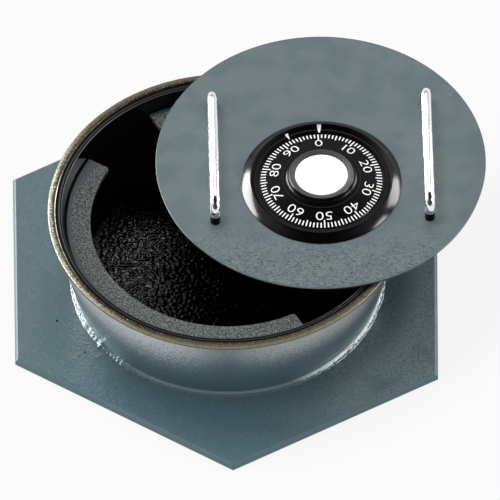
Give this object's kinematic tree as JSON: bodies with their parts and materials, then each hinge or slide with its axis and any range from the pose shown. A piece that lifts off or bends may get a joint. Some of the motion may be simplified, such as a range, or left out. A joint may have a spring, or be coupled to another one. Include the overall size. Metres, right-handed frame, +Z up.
{
  "type": "floor safe",
  "caption": "Open floor safe: tapered steel bowl welded on a hexagonal plate, with a lift-out round lid that carries handles and a combination lock.",
  "frame": {"origin": "on the floor, on the bowl's axis, half a millimetre from the middle of the base plate", "axes": "+Z up along the bowl's axis; -Y towards the front, where one point of the hexagonal plate lies; +X to the right, towards the side that the open lid overhangs"},
  "size_m": [0.2894, 0.302, 0.0865],
  "materials": {
    "plate_paint": "grey-green hammered paint, glossy",
    "body_paint": "grey-green paint outside, black hammered paint inside",
    "rim_steel": "bare turned steel, slightly yellowed",
    "weld_paint": "painted weld bead, glossy",
    "ledge_paint": "worn dark paint with grey specks",
    "lid_paint": "grey-green hammered paint, satin",
    "handle_chrome": "polished chrome",
    "fastener_steel": "zinc plated",
    "ring_black": "glossy black",
    "case_zinc": "die-cast zinc, plain",
    "lock_brass": "machined brass",
    "dial_black": "satin black with white marks",
    "disc_white": "plain white, blank"
  },
  "bodies": {
    "safe": {"base_plate": "plate_paint", "body_shell": "body_paint", "rim_ring": "rim_steel", "base_weld": "weld_paint", "front_ledge": "ledge_paint", "rear_ledge": "ledge_paint"},
    "lid": {"lid_plate": "lid_paint", "left_lug": "lid_paint", "right_lug": "lid_paint", "left_handle": "handle_chrome", "right_handle": "handle_chrome", "handle_washers": "fastener_steel", "handle_screws": "fastener_steel", "dial_ring": "ring_black", "dial_ring_screws": "fastener_steel", "lock_case": "case_zinc", "wheel_post": "lock_brass", "lock_mounting_screws": "fastener_steel", "lock_cover": "case_zinc", "cover_screws": "fastener_steel", "wheel_washers": "lock_brass", "retaining_ring": "fastener_steel"},
    "dial_spindle": {"dial": "dial_black", "knob_disc": "disc_white", "spindle": "lock_brass", "drive_cam": "lock_brass", "spline_key": "fastener_steel"},
    "first_wheel": {"wheel_1": "lock_brass"},
    "second_wheel": {"wheel_2": "lock_brass"},
    "third_wheel": {"wheel_3": "lock_brass"},
    "bolt": {"lock_bolt": "lock_brass", "lever_screw": "fastener_steel", "lever_spring": "fastener_steel"},
    "fence_lever": {"lever": "lock_brass"}
  },
  "joints": [
    {"name": "lid_lift", "type": "slide", "parent": "safe", "child": "lid", "axis": [0, 0, 1], "range_m": [0, 0.15]},
    {"name": "dial_turn", "type": "hinge", "parent": "lid", "child": "dial_spindle", "pos_m": [0.05728, 0.019, 0.07], "axis": [0, 0, 1], "continuous": true},
    {"name": "wheel_1_turn", "type": "hinge", "parent": "lid", "child": "first_wheel", "pos_m": [0.05728, 0.019, 0.062], "axis": [0, 0, 1], "continuous": true},
    {"name": "wheel_2_turn", "type": "hinge", "parent": "lid", "child": "second_wheel", "pos_m": [0.05728, 0.019, 0.0585], "axis": [0, 0, 1], "continuous": true},
    {"name": "wheel_3_turn", "type": "hinge", "parent": "lid", "child": "third_wheel", "pos_m": [0.05728, 0.019, 0.055], "axis": [0, 0, 1], "continuous": true},
    {"name": "bolt_slide", "type": "slide", "parent": "lid", "child": "bolt", "axis": [0.0227, -0.9997, 0], "range_m": [0, 0.01]},
    {"name": "lever_pivot", "type": "hinge", "parent": "bolt", "child": "fence_lever", "pos_m": [0.06192, -0.0089, 0.0487], "axis": [0, 0, 1], "range_deg": [0, 4], "stiffness_Nm_per_rad": 0.02, "springref_deg": -17.19}
  ],
  "couplings": [
    {"joint": "wheel_1_turn", "follows": "dial_turn", "ratio": 1},
    {"joint": "wheel_2_turn", "follows": "dial_turn", "ratio": 1},
    {"joint": "wheel_3_turn", "follows": "dial_turn", "ratio": 1}
  ]
}
